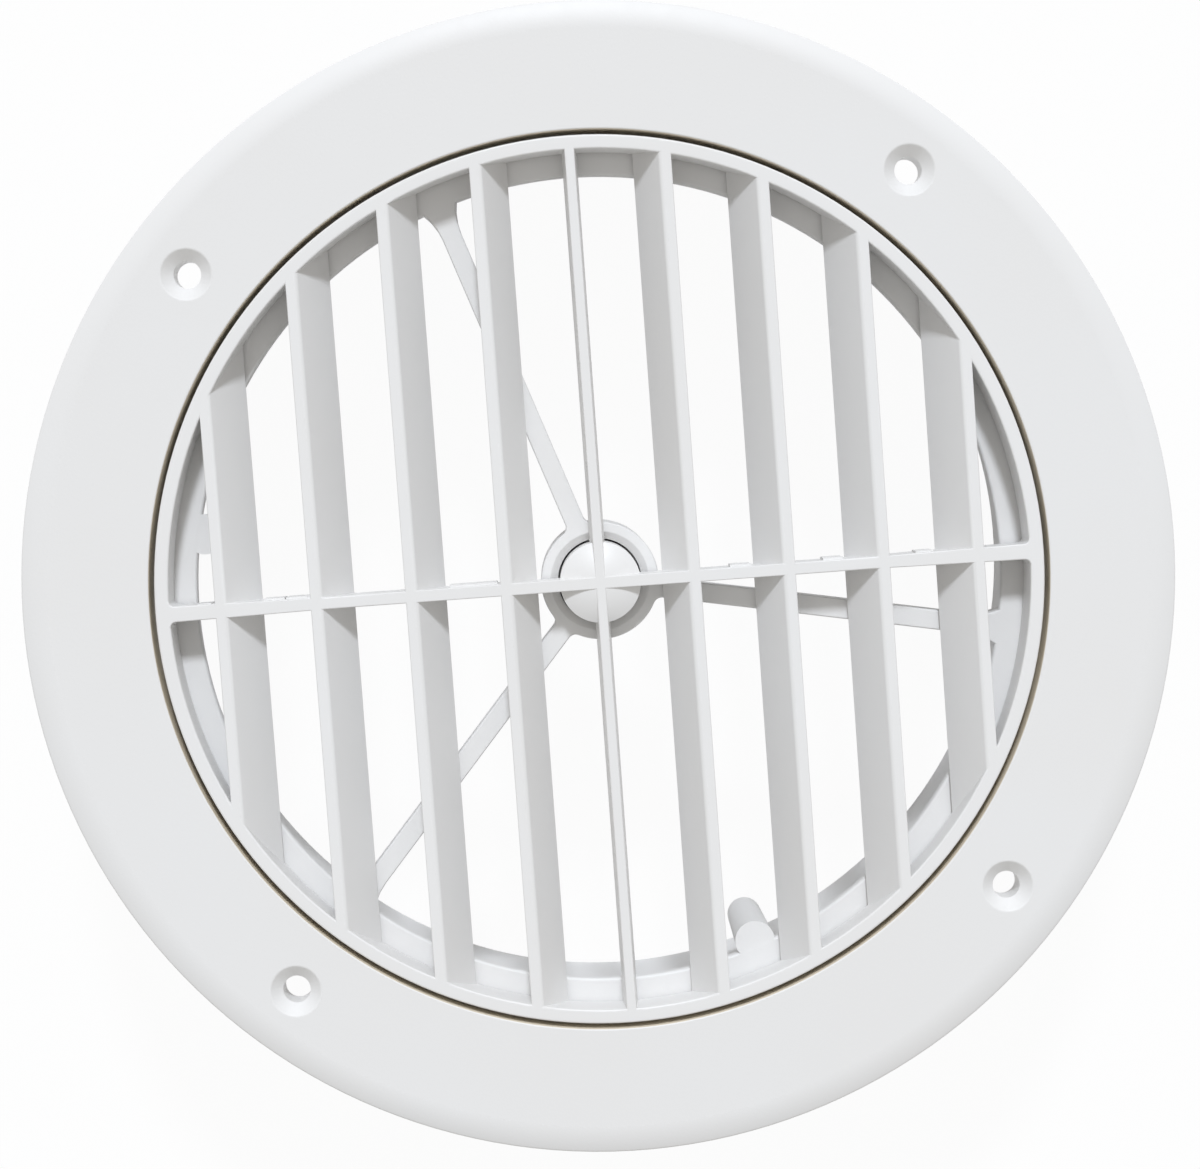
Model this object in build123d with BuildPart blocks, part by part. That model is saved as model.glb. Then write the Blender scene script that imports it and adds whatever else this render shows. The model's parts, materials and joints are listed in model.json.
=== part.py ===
"""Round louvered vent: a flanged collar that carries a louver grille on a central post.

The frame is one moulding: a hollow-backed flange with countersunk screw holes, a recess for the
grille, an inward shelf, a duct collar and a three-armed spider with a hub sleeve.  The grille is
the other moulding: a rim, a fan of leaning vanes, a centre rib, a crossbar and a split post that
snaps through the hub and turns in it.

Millimetres.  +Z points out of the front face, and the origin is on the axis in the plane of the
flange's back, which lies against the ceiling or wall.
"""

import os
from math import cos, radians, sin, tan

from build123d import *

# Flange
flange_radius = 84.15
flange_height = 6.0
flange_wall = 2.4
shoulder_width = 4.1
shoulder_drop = 1.9
opening_bevel = 0.5

# Countersunk screw holes
screw_count = 4
screw_circle_radius = 74.6
screw_hole_radius = 2.0
countersink_radius = 3.65
countersink_angle = 90
screw_boss_radius = 5.4

# Recess, shelf and duct collar
opening_radius = 65.6
collar_wall = 2.0
collar_reach = 44.5
shelf_width = 6.2
shelf_thickness = 2.0

# Spider and hub sleeve, with one common front
spider_set_back = 1.4
arm_count = 3
arm_start_angle = 60
arm_width = 2.9
arm_depth = 3.4
arm_foot_round = 9.5
arm_root_round = 1.2
hub_radius = 8.7
hub_length = 11.0
hub_mouth_bevel = 1.3

# Bosses along the collar's inner wall
wall_boss_count = 3
wall_boss_radius = 2.7
wall_boss_inset = 2.0

# Grille
grille_turn = 40.9
rim_gap = 0.8
rim_width = 2.05
rim_depth = 6.4
seat_clearance = 0.3
vane_depth = 6.0
vanes_each_side = 4
vane_end_room = 7.35
vane_thickness = 1.85
vane_first_lean = 32.5
vane_lean_step = 2.3
vane_inner_round = 0.8
vane_outer_round = 0.2
rib_front_width = 1.4
rib_back_width = 2.2
bar_width = 1.75
bar_end_width = 2.3
bar_flare_length = 22.7
bar_end_round = 0.7

# Post and snap end
post_radius = 5.9
post_clearance = 0.08
post_rise = 0.8
post_front_bevel = 1.4
post_bore_radius = 3.9
post_cap = 3.0
snap_clearance = 0.3
snap_lip = 0.6
snap_lip_height = 2.6
snap_lip_land = 0.65
snap_lead_in = 0.65
snap_slot_width = 2.2

# Levels and radii that follow from the sizes above
front = flange_height
edge_height = front - shoulder_drop
flange_underside = front - flange_wall
skirt_inner_radius = flange_radius - flange_wall
shelf_top = front - rim_depth - seat_clearance
shelf_bottom = shelf_top - shelf_thickness
shelf_inner_radius = opening_radius - shelf_width
collar_radius = opening_radius + collar_wall
collar_middle_radius = opening_radius + collar_wall / 2
collar_end = -collar_reach
spider_top = shelf_top - spider_set_back
hub_bottom = spider_top - hub_length
bore_radius = post_radius + post_clearance
wall_boss_circle = opening_radius - wall_boss_inset
rim_radius = opening_radius - rim_gap
rim_inner_radius = rim_radius - rim_width
rim_middle_radius = rim_inner_radius + rim_width / 2
vane_pitch = (rim_inner_radius - vane_end_room) / vanes_each_side
vane_back = front - vane_depth
bar_flare_start = rim_inner_radius - bar_flare_length
bar_end_radius = (rim_inner_radius + rim_middle_radius) / 2
post_top = vane_back + post_rise
post_bore_top = vane_back - post_cap
snap_radius = post_radius + snap_lip
snap_shoulder = hub_bottom - snap_clearance
post_end = snap_shoulder - snap_lip_height
slot_top = post_bore_top - post_cap
tolerance = 0.01

os.makedirs("parts", exist_ok=True)

with BuildPart() as frame:
    # Flange, recess, shelf and collar turned as one section
    with BuildSketch(Plane.XZ) as section:
        with BuildLine():
            face = Line((opening_radius, front), (flange_radius - shoulder_width, front))
            shoulder = TangentArc(face @ 1, (flange_radius, edge_height), tangent=face % 1)
            Polyline(
                shoulder @ 1,
                (flange_radius, 0),
                (skirt_inner_radius, 0),
                (skirt_inner_radius, flange_underside),
                (collar_radius, flange_underside),
                (collar_radius, collar_end),
                (opening_radius, collar_end),
                (opening_radius, shelf_bottom),
                (shelf_inner_radius, shelf_bottom),
                (shelf_inner_radius, shelf_top),
                (opening_radius, shelf_top),
                face @ 0,
            )
        make_face()
        chamfer(section.vertices().sort_by_distance((opening_radius, front))[0], opening_bevel)
    revolve(axis=Axis.Z)

    # Screw bosses under the flange, flush with its back
    with BuildSketch(Plane.XY):
        with PolarLocations(screw_circle_radius, screw_count):
            Circle(screw_boss_radius)
    extrude(amount=flange_underside)
    with Locations(Plane.XY.offset(front)):
        with PolarLocations(screw_circle_radius, screw_count):
            CounterSinkHole(
                screw_hole_radius,
                countersink_radius,
                depth=flange_height,
                counter_sink_angle=countersink_angle,
            )

    # Spider arms, filleted to the hub and flaring into the collar's wall
    with BuildSketch(Plane.XY.offset(spider_top)) as spider:
        Circle(collar_middle_radius)
        Circle(opening_radius, mode=Mode.SUBTRACT)
        Circle(hub_radius)
        with PolarLocations(0, arm_count, start_angle=arm_start_angle):
            Rectangle(collar_middle_radius, arm_width, align=(Align.MIN, Align.CENTER))
        feet = spider.vertices().filter_by(lambda v: abs(v.center().length - opening_radius) < tolerance)
        fillet(feet, arm_foot_round)
        roots = spider.vertices().filter_by(lambda v: abs(v.center().length - hub_radius) < tolerance)
        fillet(roots, arm_root_round)
    extrude(amount=-arm_depth)

    # Hub sleeve with a bevelled mouth
    with BuildSketch(Plane.XY.offset(spider_top)):
        Circle(hub_radius)
    extrude(amount=-hub_length)
    with BuildSketch(Plane.XZ):
        with BuildLine():
            Polyline(
                (0, spider_top),
                (bore_radius + hub_mouth_bevel, spider_top),
                (bore_radius, spider_top - hub_mouth_bevel),
                (bore_radius, hub_bottom),
                (0, hub_bottom),
                close=True,
            )
        make_face()
    revolve(axis=Axis.Z, mode=Mode.SUBTRACT)

    # Bosses down the collar's inner wall, midway between the arms
    with BuildSketch(Plane.XY.offset(shelf_bottom)):
        with PolarLocations(wall_boss_circle, wall_boss_count):
            Circle(wall_boss_radius)
    extrude(amount=collar_end - shelf_bottom)

frame.part.label = "vent_frame"
export_step(frame.part, "parts/vent_frame.step")

# The grille's centre rib runs along grille_turn, and its crossbar lies square to that
bar_direction = Vector(sin(radians(grille_turn)), -cos(radians(grille_turn)))
rib_direction = Vector(cos(radians(grille_turn)), sin(radians(grille_turn)))
bar_plane = Plane(origin=(0, 0, front), x_dir=bar_direction, z_dir=(0, 0, 1))
rib_plane = Plane(origin=(0, 0, front), x_dir=rib_direction, z_dir=(0, 0, 1))
vane_plane = Plane(origin=(0, 0, 0), x_dir=bar_direction, z_dir=-rib_direction)
inner_corners = [number * vane_pitch - vane_thickness / 2 for number in range(1, vanes_each_side + 1)]

with BuildPart() as grille:
    # Vanes lean in towards the centre, each a little more than the one inside it
    with BuildSketch(vane_plane) as vanes:
        for number, inner in enumerate(inner_corners):
            outer = inner + vane_thickness
            shift = vane_depth * tan(radians(vane_first_lean + number * vane_lean_step))
            with BuildLine():
                Polyline(
                    (inner, front),
                    (outer, front),
                    (outer - shift, vane_back),
                    (inner - shift, vane_back),
                    close=True,
                )
            make_face()
        mirror(about=Plane.YZ)
        front_corners = vanes.vertices().filter_by(lambda v: abs(v.Y - front) < tolerance)
        inner_edges = front_corners.filter_by(
            lambda v: any(abs(abs(v.X) - inner) < tolerance for inner in inner_corners)
        )
        outer_edges = [corner for corner in front_corners if corner not in inner_edges]
        fillet(inner_edges, vane_inner_round)
        fillet(outer_edges, vane_outer_round)
    extrude(amount=rim_radius, both=True)

    # Centre rib, drafted so that it is thicker at the back
    with BuildSketch(vane_plane):
        with BuildLine():
            Polyline(
                (-rib_front_width / 2, front),
                (rib_front_width / 2, front),
                (rib_back_width / 2, vane_back),
                (-rib_back_width / 2, vane_back),
                close=True,
            )
        make_face()
    extrude(amount=rim_radius, both=True)

    # Trim the vanes and the rib to the middle of the rim's wall, then close the rim round them
    with BuildSketch(rib_plane):
        Circle(rim_middle_radius)
    extrude(amount=-rim_depth, mode=Mode.INTERSECT)
    with BuildSketch(rib_plane):
        Circle(rim_radius)
        Circle(rim_inner_radius, mode=Mode.SUBTRACT)
    extrude(amount=-rim_depth)

    # Crossbar with flared ends, rounded into the rim
    with BuildSketch(bar_plane):
        with BuildLine():
            Polyline(
                (-bar_end_radius, 0),
                (-bar_end_radius, bar_end_width / 2),
                (-bar_flare_start, bar_width / 2),
                (bar_flare_start, bar_width / 2),
                (bar_end_radius, bar_end_width / 2),
                (bar_end_radius, 0),
                close=True,
            )
        make_face()
        mirror(about=Plane.XZ)
    extrude(amount=-vane_depth)
    wall_edges = grille.edges().filter_by(Axis.Z).filter_by(
        lambda edge: abs(Vector(edge.center().X, edge.center().Y).length - rim_inner_radius) < tolerance
    )
    bar_corners = wall_edges.filter_by(lambda edge: abs(edge.center().dot(rib_direction)) < bar_end_width)
    fillet(bar_corners, bar_end_round)

    # Post with a bevelled front and a snap lip behind the hub, bored and slotted so that its end can spring
    with BuildSketch(Plane.XZ) as post:
        with BuildLine():
            Polyline(
                (0, post_top),
                (post_radius, post_top),
                (post_radius, snap_shoulder),
                (snap_radius, snap_shoulder),
                (snap_radius, snap_shoulder - snap_lip_land),
                (post_radius - snap_lead_in, post_end),
                (post_bore_radius, post_end),
                (post_bore_radius, post_bore_top),
                (0, post_bore_top),
                close=True,
            )
        make_face()
        chamfer(post.vertices().sort_by_distance((post_radius, post_top))[0], post_front_bevel)
    revolve(axis=Axis.Z)
    with BuildSketch(Plane(origin=(0, 0, post_end), x_dir=bar_direction, z_dir=(0, 0, 1))):
        Rectangle(snap_slot_width, 2 * (snap_radius + snap_slot_width))
    extrude(amount=slot_top - post_end, mode=Mode.SUBTRACT)

grille.part.label = "louver_grille"
export_step(grille.part, "parts/louver_grille.step")
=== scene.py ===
# %% [markdown]
# # A round louvered vent
#
# The vent is two white mouldings. The frame is a flange with a short duct collar behind it, and a
# three-armed spider with a hub in its middle. The grille is a rim full of leaning vanes that turns
# on a post in that hub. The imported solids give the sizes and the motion, and this lesson models the
# same two mouldings again with round edges, fine grain and moulding marks, and gives them light.

# %% Load the frame
import json
from math import asin, atan2, cos, pi, radians, sin, sqrt, tan

import bpy
from mathutils import Matrix, Vector


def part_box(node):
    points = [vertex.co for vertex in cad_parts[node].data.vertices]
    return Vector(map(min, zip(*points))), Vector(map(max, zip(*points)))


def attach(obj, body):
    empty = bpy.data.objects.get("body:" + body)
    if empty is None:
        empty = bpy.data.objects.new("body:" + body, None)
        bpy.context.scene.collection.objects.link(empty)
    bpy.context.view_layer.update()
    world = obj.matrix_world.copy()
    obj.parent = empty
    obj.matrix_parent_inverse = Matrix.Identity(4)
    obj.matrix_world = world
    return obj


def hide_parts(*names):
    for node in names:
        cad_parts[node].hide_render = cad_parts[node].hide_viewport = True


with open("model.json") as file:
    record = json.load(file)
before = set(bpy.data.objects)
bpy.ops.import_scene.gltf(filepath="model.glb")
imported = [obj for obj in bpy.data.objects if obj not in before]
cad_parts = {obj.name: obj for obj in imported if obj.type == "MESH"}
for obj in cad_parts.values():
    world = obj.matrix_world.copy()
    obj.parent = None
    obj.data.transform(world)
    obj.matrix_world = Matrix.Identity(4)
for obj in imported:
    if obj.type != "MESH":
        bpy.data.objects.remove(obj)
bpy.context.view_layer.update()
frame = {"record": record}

# %% [markdown]
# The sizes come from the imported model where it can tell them: the boxes of the two solids give the
# flange, the rim and the depths, and the mounts give the screw circle and the collar. The others are
# the drawing's own values. All are millimetres, and `MM` turns them into Blender's metres.

# %% Sizes
MM = 0.001
mount_sizes = {mount["name"]: mount["dims"] for mount in frame["record"]["mounts"]}
frame_low, frame_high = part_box("vent_frame")
grille_low, grille_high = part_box("louver_grille")

flange_radius = frame_high.x / MM
front = frame_high.z / MM
collar_end = frame_low.z / MM
collar_radius = mount_sizes["duct_collar"]["r_mm"]
screw_circle_radius = mount_sizes["screw_holes"]["pcd_mm"] / 2
screw_hole_radius = mount_sizes["screw_holes"]["hole_r_mm"]
screw_count = mount_sizes["screw_holes"]["count"]
rim_radius = grille_high.x / MM
post_end = grille_low.z / MM
print("flange radius", round(flange_radius, 2), "rim radius", round(rim_radius, 2), "collar end", collar_end)

# %% [markdown]
# The camera stands where the photographer stood: about 0.4 m in front of the face, a few degrees
# towards the top of the picture, and rolled so that the screw holes sit askew. A lens as long as this
# one keeps the far end of the collar only a little smaller than the opening.

# %% Camera
IMAGE_WIDTH = 1200
SENSOR_WIDTH = 36.0
camera_distance = 400 * MM
focal_pixels = 2709.6
roll = radians(53.33)
lean_up = radians(3.25)
lean_side = radians(-1.1)
aim_up = 0.55 * MM

bpy.ops.object.select_all(action="DESELECT")
bpy.ops.object.camera_add()
camera = bpy.context.object
camera.name = "photo_camera"
camera.data.sensor_fit = "HORIZONTAL"
camera.data.sensor_width = SENSOR_WIDTH
camera.data.lens = focal_pixels / IMAGE_WIDTH * SENSOR_WIDTH
turn_to_camera = (
    Matrix.Rotation(-lean_side, 4, "Y") @ Matrix.Rotation(lean_up, 4, "X") @ Matrix.Rotation(roll, 4, "Z")
)
camera.matrix_world = turn_to_camera.inverted() @ Matrix.Translation((0, -aim_up, camera_distance))
bpy.context.scene.camera = camera
bpy.context.scene.view_settings.view_transform = "Standard"
camera_place = [round(part, 4) for part in camera.matrix_world.translation]
print("lens", round(camera.data.lens, 2), "camera at", camera_place)

# %% [markdown]
# Most of a moulding is either turned or pushed out of an outline, so a few helpers carry the work.
# `rounded` puts an arc on each corner of an outline. `trace` draws the outline the way one does by
# hand, one vertex extruded from point to point. `spin_round` turns it about an axis, `push_out` fills
# and extrudes it, `combine` joins, cuts or trims one closed shape with another, and `bevel_edges`
# rounds the edges that pass a test on their place.

# %% Drawing helpers
WELD = 0.002 * MM
TURN_STEPS = 180
HUB_TURN_STEPS = 96
ARC_STEPS = 5
SHOULDER_STEPS = 12
CUT_PAST = 1.0
EDGE_TOLERANCE = 0.01


def arc(centre, start, end, steps=ARC_STEPS):
    """Points on the short arc from start to end round a centre."""
    middle = Vector(centre)
    first = Vector(start) - middle
    last = Vector(end) - middle
    sweep = first.angle(last)
    weights = [(sin(sweep * (steps - step) / steps), sin(sweep * step / steps)) for step in range(steps + 1)]
    return [middle + (first * before + last * after) / sin(sweep) for before, after in weights]


def rounded(corners, steps=ARC_STEPS):
    """Turn (across, up, radius) corners into outline points, with an arc wherever a radius is given."""
    points = []
    for index, (across, up, radius) in enumerate(corners):
        corner = Vector((across, up))
        if radius == 0:
            points.append(corner)
            continue
        before = (Vector(corners[index - 1][:2]) - corner).normalized()
        after = (Vector(corners[(index + 1) % len(corners)][:2]) - corner).normalized()
        half_angle = before.angle(after) / 2
        reach = radius / tan(half_angle)
        centre = corner + (before + after).normalized() * (radius / sin(half_angle))
        points += arc(centre, corner + before * reach, corner + after * reach, steps)
    return points


def upright(across, up):
    """Place an outline point in the upright plane through the vent's axis."""
    return (across, 0, up)


def trace(name, outline, place=upright):
    """Draw a closed outline: a plane merged to one vertex, then extruded from point to point."""
    corners = [Vector(place(*point)) * MM for point in outline]
    bpy.ops.object.select_all(action="DESELECT")
    bpy.ops.mesh.primitive_plane_add(size=MM)
    piece = bpy.context.object
    piece.name = name
    bpy.ops.object.mode_set(mode="EDIT")
    bpy.ops.mesh.select_all(action="SELECT")
    bpy.ops.mesh.merge(type="CENTER")
    bpy.ops.transform.translate(value=corners[0])
    for here, there in zip(corners, corners[1:] + corners[:1]):
        bpy.ops.mesh.extrude_vertices_move(TRANSFORM_OT_translate={"value": there - here})
    bpy.ops.mesh.select_all(action="SELECT")
    bpy.ops.mesh.remove_doubles(threshold=WELD)
    return piece


def close_up():
    """Merge doubles, turn all faces outwards and leave edit mode."""
    bpy.ops.mesh.select_all(action="SELECT")
    bpy.ops.mesh.remove_doubles(threshold=WELD)
    bpy.ops.mesh.normals_make_consistent(inside=False)
    bpy.ops.object.mode_set(mode="OBJECT")


def spin_round(centre=(0, 0), steps=TURN_STEPS):
    """Turn the traced outline once round an upright axis."""
    bpy.ops.mesh.spin(steps=steps, angle=2 * pi, center=(centre[0] * MM, centre[1] * MM, 0), axis=(0, 0, 1))
    close_up()


def push_out(offset):
    """Fill the traced outline and extrude it by an offset."""
    bpy.ops.mesh.edge_face_add()
    bpy.ops.mesh.extrude_region_move(TRANSFORM_OT_translate={"value": Vector(offset) * MM})
    close_up()


def combine(piece, other, operation):
    """Join (UNION), cut (DIFFERENCE) or trim (INTERSECT) a piece with another, which is used up."""
    bpy.ops.object.select_all(action="DESELECT")
    bpy.context.view_layer.objects.active = piece
    boolean = piece.modifiers.new("combine", "BOOLEAN")
    boolean.operation = operation
    boolean.solver = "EXACT"
    boolean.object = other
    bpy.ops.object.modifier_apply(modifier=boolean.name)
    bpy.data.objects.remove(other)


def bevel_edges(piece, wanted, width, segments=3):
    """Bevel the edges of a piece whose two ends both pass a test on their place in millimetres."""
    bpy.ops.object.select_all(action="DESELECT")
    bpy.context.view_layer.objects.active = piece
    bpy.ops.object.mode_set(mode="EDIT")
    bpy.ops.mesh.select_mode(type="EDGE")
    bpy.ops.mesh.select_all(action="DESELECT")
    bpy.ops.object.mode_set(mode="OBJECT")
    places = [vertex.co / MM for vertex in piece.data.vertices]
    for edge in piece.data.edges:
        edge.select = all(wanted(places[end]) for end in edge.vertices)
    bpy.ops.object.mode_set(mode="EDIT")
    bpy.ops.mesh.bevel(offset=width * MM, segments=segments, affect="EDGES")
    bpy.ops.mesh.select_mode(type="VERT")
    close_up()


def on_circle(radius, degrees):
    """A point on a circle round the vent's axis."""
    return (radius * cos(radians(degrees)), radius * sin(radians(degrees)))


# %% [markdown]
# The frame's flange, recess, shelf and collar share one section, turned once round the axis. The
# flange's shoulder is a wide arc that leaves the flat face without a line and ends in a small round
# at the edge. Every corner gets the slight round that a mould gives it, because those rounds catch
# the light.

# %% Flange and collar
flange_wall = 2.4
shoulder_width = 4.1
shoulder_drop = 0.9
edge_round = 0.5
opening_radius = 65.6
opening_round = 0.25
shelf_inner_radius = 59.4
shelf_top = -0.7
shelf_bottom = -2.7
wall_round = 0.45

shoulder_radius = (shoulder_width**2 + shoulder_drop**2) / (2 * shoulder_drop)
shoulder_start = flange_radius - shoulder_width
shoulder_turn = asin((shoulder_width - edge_round) / (shoulder_radius - edge_round))
shoulder_centre = Vector((shoulder_start, front - shoulder_radius))
slope = Vector((sin(shoulder_turn), cos(shoulder_turn)))
edge_centre = shoulder_centre + slope * (shoulder_radius - edge_round)
edge_end = edge_centre + Vector((edge_round, 0))
shoulder_end = shoulder_centre + slope * shoulder_radius
shoulder = arc(shoulder_centre, (shoulder_start, front), shoulder_end, SHOULDER_STEPS)
edge = arc(edge_centre, shoulder[-1], edge_end)
skirt_radius = flange_radius - flange_wall
underside = front - flange_wall

inner_side = rounded([
    (flange_radius, 0, wall_round),
    (skirt_radius, 0, wall_round),
    (skirt_radius, underside, wall_round),
    (collar_radius, underside, wall_round),
    (collar_radius, collar_end, wall_round),
    (opening_radius, collar_end, wall_round),
    (opening_radius, shelf_bottom, wall_round),
    (shelf_inner_radius, shelf_bottom, wall_round),
    (shelf_inner_radius, shelf_top, wall_round),
    (opening_radius, shelf_top, wall_round),
    (opening_radius, front, opening_round),
    (flange_radius, front, 0),
])[:-1]
vent_frame = trace("frame_moulding", inner_side + shoulder + edge[1:])
spin_round()
print("flange and collar:", len(vent_frame.data.polygons), "faces")

# %% [markdown]
# Four countersunk holes go through the flange. Each has a boss under it, flush with the flange's back,
# so that the screw doesn't crush the hollow flange. The boss is a cylinder joined on, and the hole is
# a turned cutter with a small ease at its mouth, cut away.

# %% Screw holes
countersink_radius = 3.65
mouth_ease = 0.08
screw_boss_radius = 5.4
cutter_height = 2.0
cutter_radius = countersink_radius + 4 * mouth_ease
SMALL_TURN_STEPS = 48
countersink_depth = countersink_radius - screw_hole_radius

for number in range(screw_count):
    hole_x, hole_y = on_circle(screw_circle_radius, 360 * number / screw_count)
    bpy.ops.object.select_all(action="DESELECT")
    boss_height = (front + underside) / 2
    bpy.ops.mesh.primitive_cylinder_add(
        vertices=SMALL_TURN_STEPS,
        radius=screw_boss_radius * MM,
        depth=boss_height * MM,
        location=(hole_x * MM, hole_y * MM, boss_height / 2 * MM),
    )
    combine(vent_frame, bpy.context.object, "UNION")
    cutter_outline = [
        (0, front + cutter_height),
        (cutter_radius, front + cutter_height),
        (cutter_radius, front + mouth_ease / 4),
        (countersink_radius + mouth_ease, front - mouth_ease / 2),
        (countersink_radius - mouth_ease, front - 1.5 * mouth_ease),
        (screw_hole_radius, front - countersink_depth),
        (screw_hole_radius, -cutter_height),
        (0, -cutter_height),
    ]
    cutter = trace("screw_cutter", cutter_outline, lambda across, up: (hole_x + across, hole_y, up))
    spin_round((hole_x, hole_y), SMALL_TURN_STEPS)
    combine(vent_frame, cutter, "DIFFERENCE")
print("screw holes cut, frame has", len(vent_frame.data.polygons), "faces")

# %% [markdown]
# The spider is drawn in plan, flush with the shelf as the photo shows it. Each arm springs from the
# hub with a small fillet, runs straight, and flares in a wide fillet to the collar's wall. A fillet's
# centre lies where two circles or a circle and a line meet, which is one square root. The outline is
# filled, pushed back by the arm's depth, and its front edge is bevelled before the hub sleeve is joined
# under it and bored.

# %% Spider and hub
spider_set_back = 0.02
spider_top = shelf_top - spider_set_back
spider_back = -5.5
arm_angles = [60, 180, 300]
arm_half_width = 1.45
arm_depth = spider_top - spider_back
arm_foot_round = 9.5
arm_root_round = 1.2
arm_edge_round = 0.25
hub_radius = 8.7
hub_bottom = -13.1
hub_round = 0.4
bore_radius = 6.2
mouth_bevel = 1.1
wall_overlap = 1.0
FLARE_STEPS = 10

root_across = arm_half_width + arm_root_round
root_along = sqrt((hub_radius + arm_root_round) ** 2 - root_across**2)
foot_across = arm_half_width + arm_foot_round
foot_along = sqrt((opening_radius - arm_foot_round) ** 2 - foot_across**2)
root_centre = Vector((root_along, root_across))
foot_centre = Vector((foot_along, foot_across))
root_start = root_centre * hub_radius / (hub_radius + arm_root_round)
foot_end = foot_centre * opening_radius / (opening_radius - arm_foot_round)
wall_end = foot_end * (opening_radius + wall_overlap) / opening_radius
upper_side = arc(root_centre, root_start, (root_along, arm_half_width))
upper_side += arc(foot_centre, (foot_along, arm_half_width), foot_end, FLARE_STEPS)
lower_side = [Vector((point.x, -point.y)) for point in upper_side]
wall_arc = arc((0, 0), (wall_end.x, -wall_end.y), wall_end)
arm_outline = lower_side + wall_arc + upper_side[::-1]
root_angle = atan2(root_start.y, root_start.x)
arm_turn = 2 * pi / len(arm_angles)
next_root = Matrix.Rotation(arm_turn - 2 * root_angle, 2) @ root_start
hub_arc = arc((0, 0), root_start, next_root, 2 * FLARE_STEPS)[1:-1]

spider_outline = []
for angle in arm_angles:
    turn = Matrix.Rotation(radians(angle), 2)
    spider_outline += [turn @ point for point in arm_outline + hub_arc]
spider = trace("spider", spider_outline, lambda across, up: (across, up, spider_top - arm_depth))
push_out((0, 0, arm_depth))
bevel_edges(spider, lambda place: place.z > spider_top - EDGE_TOLERANCE, arm_edge_round)

sleeve = trace("hub_sleeve", rounded([
    (0, hub_bottom, 0),
    (hub_radius, hub_bottom, hub_round),
    (hub_radius, spider_top - arm_depth / 2, 0),
    (0, spider_top - arm_depth / 2, 0),
]))
spin_round(steps=HUB_TURN_STEPS)
combine(spider, sleeve, "UNION")
mouth_radius = bore_radius + mouth_bevel
bore = trace("hub_bore", [
    (0, hub_bottom - CUT_PAST),
    (bore_radius, hub_bottom - CUT_PAST),
    (bore_radius, spider_top - mouth_bevel),
    (mouth_radius - arm_edge_round / 2, spider_top - arm_edge_round / 2),
    (mouth_radius + arm_edge_round, spider_top + arm_edge_round / 4),
    (mouth_radius + arm_edge_round, spider_top + CUT_PAST),
    (0, spider_top + CUT_PAST),
])
spin_round(steps=HUB_TURN_STEPS)
combine(spider, bore, "DIFFERENCE")
combine(vent_frame, spider, "UNION")
print("spider outline has", len(spider_outline), "points; frame has", len(vent_frame.data.polygons), "faces")

# %% [markdown]
# Three round bosses run down the inside of the collar, midway between the arms. Two drafted pins
# stand at the shelf's inner edge, flush with it, and show between the lower vanes.

# %% Bosses in the collar
wall_boss_radius = 2.7
wall_boss_circle = 63.6
wall_boss_angles = [0, 120, 240]
wall_boss_end = -20.0
boss_end_round = 0.5
pin_angles = [120, 240]
pin_circle = 58.6
pin_radius = 2.95
pin_tip_radius = 2.6
pin_end = -24.0

for angle in wall_boss_angles:
    boss_x, boss_y = on_circle(wall_boss_circle, angle)
    boss = trace("collar_boss", rounded([
        (0, wall_boss_end, 0),
        (wall_boss_radius, wall_boss_end, boss_end_round),
        (wall_boss_radius, (shelf_top + shelf_bottom) / 2, 0),
        (0, (shelf_top + shelf_bottom) / 2, 0),
    ]), lambda across, up: (boss_x + across, boss_y, up))
    spin_round((boss_x, boss_y), SMALL_TURN_STEPS)
    combine(vent_frame, boss, "UNION")
for angle in pin_angles:
    pin_x, pin_y = on_circle(pin_circle, angle)
    pin = trace("shelf_pin", rounded([
        (0, pin_end, 0),
        (pin_tip_radius, pin_end, boss_end_round),
        (pin_radius, spider_top, 0),
        (0, spider_top, 0),
    ]), lambda across, up: (pin_x + across, pin_y, up))
    spin_round((pin_x, pin_y), SMALL_TURN_STEPS)
    combine(vent_frame, pin, "UNION")
print("frame moulding:", len(vent_frame.data.polygons), "faces")

# %% [markdown]
# The grille is modelled square, with its crossbar along X, and turned to its resting angle at the end.
# A vane is a leaning strip with a rounded inner front edge. One section is traced for each place,
# because each vane leans a little more than the one inside it, and pushed out along Y. The left side
# mirrors the right. A disc then trims all the ends to the middle of the rim's wall.

# %% Vanes and centre rib
vane_back = 0.0
vanes_each_side = 4
rim_width = 2.05
vane_end_room = 7.35
vane_thickness = 1.85
vane_first_lean = 32.5
vane_lean_step = 2.3
vane_inner_round = 0.8
vane_outer_round = 0.2
back_round = 0.15
rib_front_width = 1.4
rib_back_width = 2.2

rim_inner_radius = rim_radius - rim_width
rim_middle_radius = rim_radius - rim_width / 2
vane_pitch = (rim_inner_radius - vane_end_room) / vanes_each_side
vane_depth = front - vane_back


def strip(name, section):
    """Push an upright section out along Y, right across the grille."""
    piece = trace(name, section, lambda across, up: (across, -rim_radius, up))
    push_out((0, 2 * rim_radius, 0))
    return piece


strips = []
for number in range(vanes_each_side):
    inner = (number + 1) * vane_pitch - vane_thickness / 2
    outer = inner + vane_thickness
    shift = vane_depth * tan(radians(vane_first_lean + number * vane_lean_step))
    for side in (1, -1):
        strips.append(strip("vane", rounded([
            (side * inner, front, vane_inner_round),
            (side * outer, front, vane_outer_round),
            (side * (outer - shift), vane_back, back_round),
            (side * (inner - shift), vane_back, back_round),
        ])))
strips.append(strip("centre_rib", rounded([
    (-rib_front_width / 2, front, vane_outer_round),
    (rib_front_width / 2, front, vane_outer_round),
    (rib_back_width / 2, vane_back, back_round),
    (-rib_back_width / 2, vane_back, back_round),
])))

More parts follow.
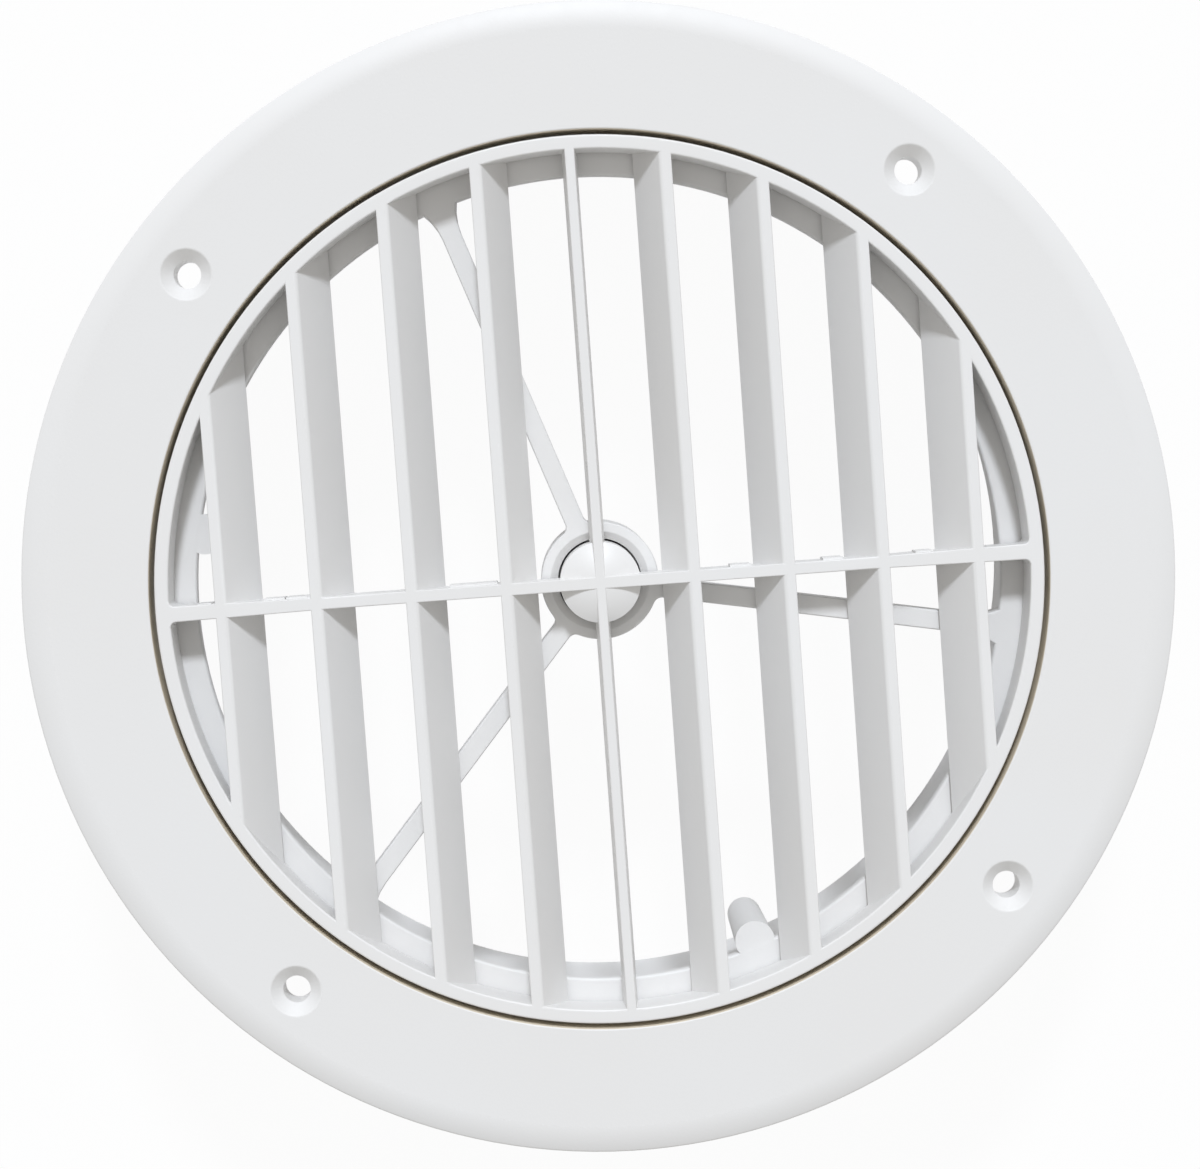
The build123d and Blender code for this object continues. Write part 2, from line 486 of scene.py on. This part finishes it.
bpy.ops.object.select_all(action="DESELECT")
for piece in strips:
    piece.select_set(True)
grille = strips[0]
bpy.context.view_layer.objects.active = grille
bpy.ops.object.join()
grille.name = "grille_moulding"
trim_disc = trace("trim_disc", [
    (0, vane_back - CUT_PAST),
    (rim_middle_radius, vane_back - CUT_PAST),
    (rim_middle_radius, front + CUT_PAST),
    (0, front + CUT_PAST),
])
spin_round()
combine(grille, trim_disc, "INTERSECT")
print("vanes:", 2 * vanes_each_side, "pitch", round(vane_pitch, 2), "faces", len(grille.data.polygons))

# %% [markdown]
# The rim is a turned band with eased edges. The crossbar is drawn in plan, a little wider towards its
# ends and filleted into the rim, and pushed back as deep as the vanes. Thin pads along its upper side
# are the marks that the mould's parting leaves there.

# %% Rim and crossbar
rim_depth = 6.4
rim_round = 0.3
bar_half_width = 0.875
bar_end_half_width = 1.15
bar_flare_length = 22.7
bar_end_round = 0.75
pad_spans = [(-58.7, -56.7), (-49, -46), (-45.8, -42.3), (-22, -15), (19, 22), (32.6, 35.5), (46.2, 48.7)]
pad_height = 0.35
pad_set_back = 0.9

rim = trace("rim", rounded([
    (rim_inner_radius, front, rim_round),
    (rim_radius, front, rim_round),
    (rim_radius, front - rim_depth, rim_round),
    (rim_inner_radius, front - rim_depth, rim_round),
]))
spin_round()

bar_corner_across = bar_end_half_width + bar_end_round
bar_corner_along = sqrt((rim_inner_radius - bar_end_round) ** 2 - bar_corner_across**2)
bar_corner = Vector((bar_corner_along, bar_corner_across))
bar_wall = bar_corner * rim_inner_radius / (rim_inner_radius - bar_end_round)
corner_arc = arc(bar_corner, (bar_corner_along, bar_end_half_width), bar_wall)
quarter = [Vector((rim_inner_radius - bar_flare_length, bar_half_width))] + corner_arc
quarter.append(bar_wall * rim_middle_radius / rim_inner_radius)
right_end = [Vector((point.x, -point.y)) for point in quarter] + quarter[::-1]
left_end = [Vector((-point.x, -point.y)) for point in right_end]
bar = trace("crossbar", right_end + left_end, lambda across, up: (across, up, vane_back))
push_out((0, 0, vane_depth))
bevel_edges(bar, lambda place: place.z > front - EDGE_TOLERANCE, vane_outer_round)
for start, end in pad_spans:
    pad = trace("mould_pad", [
        (start, 0),
        (end, 0),
        (end, bar_half_width + pad_height),
        (start, bar_half_width + pad_height),
    ], lambda across, up: (across, up, vane_back + pad_set_back))
    push_out((0, 0, vane_depth - 2 * pad_set_back))
    combine(bar, pad, "UNION")
combine(rim, bar, "UNION")
combine(grille, rim, "UNION")
print("grille with rim and crossbar:", len(grille.data.polygons), "faces")

# %% [markdown]
# From the crossing a post goes down into the hub. Its front is a low dome that almost reaches the
# grille's face, and its back end has a lip that snaps past the hub, with a bore and a slot that let
# it spring.

# %% Post
post_radius = 5.9
dome_top = 5.95
dome_edge = 4.35
post_bore_radius = 3.9
post_bore_top = -3.0
snap_radius = 6.5
snap_shoulder = -13.4
snap_land = 0.65
snap_lead_in = 0.65
slot_top = -6.0
slot_width = 2.2

dome_drop = dome_top - dome_edge
dome_radius = (post_radius**2 + dome_drop**2) / (2 * dome_drop)
dome = arc((0, dome_top - dome_radius), (0, dome_top), (post_radius, dome_edge), FLARE_STEPS)
post = trace("post", dome[:-1] + rounded([
    (post_radius, dome_edge, 0),
    (post_radius, snap_shoulder, 0),
    (snap_radius, snap_shoulder, back_round),
    (snap_radius, snap_shoulder - snap_land, back_round),
    (post_radius - snap_lead_in, post_end, back_round),
    (post_bore_radius, post_end, back_round),
    (post_bore_radius, post_bore_top, back_round),
    (0, post_bore_top, 0),
]))
spin_round(steps=HUB_TURN_STEPS)
slot_cutter = trace("slot_cutter", [
    (-slot_width / 2, slot_top),
    (slot_width / 2, slot_top),
    (slot_width / 2, post_end - CUT_PAST),
    (-slot_width / 2, post_end - CUT_PAST),
], lambda across, up: (across, -2 * snap_radius, up))
push_out((0, 4 * snap_radius, 0))
combine(post, slot_cutter, "DIFFERENCE")
combine(grille, post, "UNION")

grille_turn = 40.9
bpy.ops.object.select_all(action="DESELECT")
grille.select_set(True)
bpy.context.view_layer.objects.active = grille
grille.rotation_euler.z = radians(grille_turn - 90)
bpy.ops.object.transform_apply(location=True, rotation=True, scale=True)
print("grille moulding:", len(grille.data.polygons), "faces")

# %% [markdown]
# The slivers that the joins left are dissolved first. Faces that meet at a shallow angle are then
# shaded as one surface, and the rest keep their edge. Weighted normals keep the wide flat faces flat
# where a small round meets them.

# %% Smooth shading
SMOOTH_ANGLE_DEGREES = 32
SMOOTH_ANGLE = radians(SMOOTH_ANGLE_DEGREES)
for piece in (vent_frame, grille):
    bpy.ops.object.select_all(action="DESELECT")
    piece.select_set(True)
    bpy.context.view_layer.objects.active = piece
    bpy.ops.object.mode_set(mode="EDIT")
    bpy.ops.mesh.select_all(action="SELECT")
    bpy.ops.mesh.dissolve_degenerate(threshold=WELD)
    close_up()
    bpy.ops.object.shade_smooth_by_angle(angle=SMOOTH_ANGLE)
    weighted = piece.modifiers.new("weighted", "WEIGHTED_NORMAL")
    weighted.keep_sharp = True
    bpy.ops.object.modifier_apply(modifier=weighted.name)
print("shaded smooth below", SMOOTH_ANGLE_DEGREES, "degrees")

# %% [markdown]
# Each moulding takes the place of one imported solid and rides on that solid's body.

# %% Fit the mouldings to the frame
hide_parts("vent_frame")
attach(vent_frame, "frame")
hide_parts("louver_grille")
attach(grille, "grille")
print("mouldings fitted to the frame")

# %% [markdown]
# Both mouldings are white plastic. The frame has a very fine grain from its mould, and the grille is a
# little smoother. Neither is one flat white: a slow drift of tone and a change of gloss keep them from
# looking like paper. The recess's wall, in the groove round the grille, carries painted shade: a warm
# brown tint that stands in for the shade deep in that narrow groove.

# %% Finishes
TONE_PATCH = 40
TONE_DETAIL = 3
TONE_RANGE = (0.35, 0.65)
GLOSS_PATCH = 3
GLOSS_SPREAD = 0.06
GRAIN_DETAIL = 2
GRAIN_STRENGTH = 0.5


def white_plastic(name, warm_white, cool_white, grain_size, grain_height, roughness):
    """White moulded plastic: slow drift between two whites, uneven gloss and a fine grain."""
    material = bpy.data.materials.new(name)
    material.use_nodes = True
    nodes = material.node_tree.nodes
    links = material.node_tree.links
    shader = nodes["Principled BSDF"]
    place = nodes.new("ShaderNodeTexCoord")

    drift = nodes.new("ShaderNodeTexNoise")
    drift.inputs["Scale"].default_value = 1 / (TONE_PATCH * MM)
    drift.inputs["Detail"].default_value = TONE_DETAIL
    tones = nodes.new("ShaderNodeValToRGB")
    tones.color_ramp.elements[0].position = TONE_RANGE[0]
    tones.color_ramp.elements[0].color = (*warm_white, 1)
    tones.color_ramp.elements[1].position = TONE_RANGE[1]
    tones.color_ramp.elements[1].color = (*cool_white, 1)
    links.new(place.outputs["Object"], drift.inputs["Vector"])
    links.new(drift.outputs["Fac"], tones.inputs["Fac"])
    links.new(tones.outputs["Color"], shader.inputs["Base Color"])

    gloss = nodes.new("ShaderNodeTexNoise")
    gloss.inputs["Scale"].default_value = 1 / (GLOSS_PATCH * MM)
    gloss_range = nodes.new("ShaderNodeMapRange")
    gloss_range.inputs["To Min"].default_value = roughness - GLOSS_SPREAD
    gloss_range.inputs["To Max"].default_value = roughness + GLOSS_SPREAD
    links.new(place.outputs["Object"], gloss.inputs["Vector"])
    links.new(gloss.outputs["Fac"], gloss_range.inputs["Value"])
    links.new(gloss_range.outputs["Result"], shader.inputs["Roughness"])

    grain = nodes.new("ShaderNodeTexNoise")
    grain.inputs["Scale"].default_value = 1 / (grain_size * MM)
    grain.inputs["Detail"].default_value = GRAIN_DETAIL
    bump = nodes.new("ShaderNodeBump")
    bump.inputs["Strength"].default_value = GRAIN_STRENGTH
    bump.inputs["Distance"].default_value = grain_height * MM
    links.new(place.outputs["Object"], grain.inputs["Vector"])
    links.new(grain.outputs["Fac"], bump.inputs["Height"])
    links.new(bump.outputs["Normal"], shader.inputs["Normal"])
    return material


# Painted shade: a ring of warm tint stands in for the shade deep in the groove round the grille.
def painted_groove_shade(material, shade_tint, radius, width, lowest):
    """Paint a shade tint on a ring of the moulding at one radius from the axis, above one height."""
    nodes = material.node_tree.nodes
    links = material.node_tree.links
    shader = nodes["Principled BSDF"]
    unshaded_colour = shader.inputs["Base Color"].links[0].from_socket
    place = nodes.new("ShaderNodeTexCoord")
    split = nodes.new("ShaderNodeSeparateXYZ")
    links.new(place.outputs["Object"], split.inputs["Vector"])
    flat = nodes.new("ShaderNodeCombineXYZ")
    links.new(split.outputs["X"], flat.inputs["X"])
    links.new(split.outputs["Y"], flat.inputs["Y"])
    reach = nodes.new("ShaderNodeVectorMath")
    reach.operation = "LENGTH"
    links.new(flat.outputs["Vector"], reach.inputs[0])
    on_ring = nodes.new("ShaderNodeMath")
    on_ring.operation = "COMPARE"
    on_ring.inputs[1].default_value = radius * MM
    on_ring.inputs[2].default_value = width * MM
    links.new(reach.outputs["Value"], on_ring.inputs[0])
    above = nodes.new("ShaderNodeMath")
    above.operation = "GREATER_THAN"
    above.inputs[1].default_value = lowest * MM
    links.new(split.outputs["Z"], above.inputs[0])
    on_shaded_ring = nodes.new("ShaderNodeMath")
    on_shaded_ring.operation = "MULTIPLY"
    links.new(on_ring.outputs["Value"], on_shaded_ring.inputs[0])
    links.new(above.outputs["Value"], on_shaded_ring.inputs[1])
    # The painted shade tint is mixed over the plastic's own colour on that ring.
    tint = nodes.new("ShaderNodeMixRGB")
    tint.inputs["Color2"].default_value = (*shade_tint, 1)
    links.new(on_shaded_ring.outputs["Value"], tint.inputs["Fac"])
    links.new(unshaded_colour, tint.inputs["Color1"])
    links.new(tint.outputs["Color"], shader.inputs["Base Color"])


frame_whites = ((0.83, 0.82, 0.805), (0.835, 0.83, 0.82))
grille_whites = ((0.835, 0.825, 0.81), (0.845, 0.84, 0.83))
frame_finish = white_plastic(
    "frame_grained_white", *frame_whites, grain_size=0.5, grain_height=0.02, roughness=0.5
)
# Painted shade: the groove's wall is tinted warm brown where its shade falls.
warm_groove_shade = (0.85, 0.77, 0.63)
groove_shade_width = 0.04
painted_groove_shade(frame_finish, warm_groove_shade, opening_radius, groove_shade_width, shelf_top)
grille_finish = white_plastic(
    "grille_satin_white", *grille_whites, grain_size=0.9, grain_height=0.008, roughness=0.42
)
vent_frame.data.materials.clear()
vent_frame.data.materials.append(frame_finish)
grille.data.materials.clear()
grille.data.materials.append(grille_finish)
print("finishes:", frame_finish.name, grille_finish.name)

# %% [markdown]
# The vent lies on its collar on a pale floor. The light is soft and comes from the top of the picture,
# about 42 degrees off the axis, with white all round to fill the shadows. The floor shows white to the
# camera and still takes a faint shadow.

# %% Floor and light
floor_drop = 0.2
floor_size = 4.0
floor_white = (0.8, 0.8, 0.8)
floor_roughness = 0.9
glow_strength = 1.0
glow_share = 0.95
bpy.ops.object.select_all(action="DESELECT")
bpy.ops.mesh.primitive_plane_add(size=floor_size, location=(0, 0, (collar_end - floor_drop) * MM))
floor = bpy.context.object
floor.name = "floor"
floor_finish = bpy.data.materials.new("pale_floor")
floor_finish.use_nodes = True
nodes = floor_finish.node_tree.nodes
links = floor_finish.node_tree.links
matte = nodes["Principled BSDF"]
matte.inputs["Base Color"].default_value = (*floor_white, 1)
matte.inputs["Roughness"].default_value = floor_roughness
glow = nodes.new("ShaderNodeEmission")
glow.inputs["Strength"].default_value = glow_strength
path = nodes.new("ShaderNodeLightPath")
seen = nodes.new("ShaderNodeMath")
seen.operation = "MAXIMUM"
seen_any = nodes.new("ShaderNodeMath")
seen_any.operation = "MAXIMUM"
shine = nodes.new("ShaderNodeMixShader")
links.new(path.outputs["Is Camera Ray"], seen.inputs[0])
links.new(path.outputs["Is Glossy Ray"], seen.inputs[1])
links.new(seen.outputs[0], seen_any.inputs[0])
links.new(path.outputs["Is Transmission Ray"], seen_any.inputs[1])
share = nodes.new("ShaderNodeMath")
share.operation = "MULTIPLY"
share.inputs[1].default_value = glow_share
links.new(seen_any.outputs[0], share.inputs[0])
links.new(share.outputs[0], shine.inputs["Fac"])
links.new(matte.outputs["BSDF"], shine.inputs[1])
links.new(glow.outputs["Emission"], shine.inputs[2])
links.new(shine.outputs["Shader"], nodes["Material Output"].inputs["Surface"])
floor.data.materials.append(floor_finish)

room_white = (0.98, 0.97, 0.95)
room_strength = 0.53
world = bpy.data.worlds.new("white_room")
bpy.context.scene.world = world
world.use_nodes = True
room = world.node_tree.nodes["Background"]
room.inputs["Color"].default_value = (*room_white, 1)
room.inputs["Strength"].default_value = room_strength

key_bearing = 38.0
key_tilt = radians(42.3)
key_strength = 2.1
key_softness = radians(8)
key_white = (0.88, 0.925, 1.0)
bpy.ops.object.light_add(type="SUN")
key = bpy.context.object
key.name = "key_light"
key.data.energy = key_strength
key.data.angle = key_softness
key.data.color = key_white
key_x, key_y = on_circle(sin(key_tilt), key_bearing)
towards_light = Vector((key_x, key_y, cos(key_tilt)))
key.rotation_euler = towards_light.to_track_quat("Z", "Y").to_euler()
print("key light from", [round(part, 2) for part in towards_light])
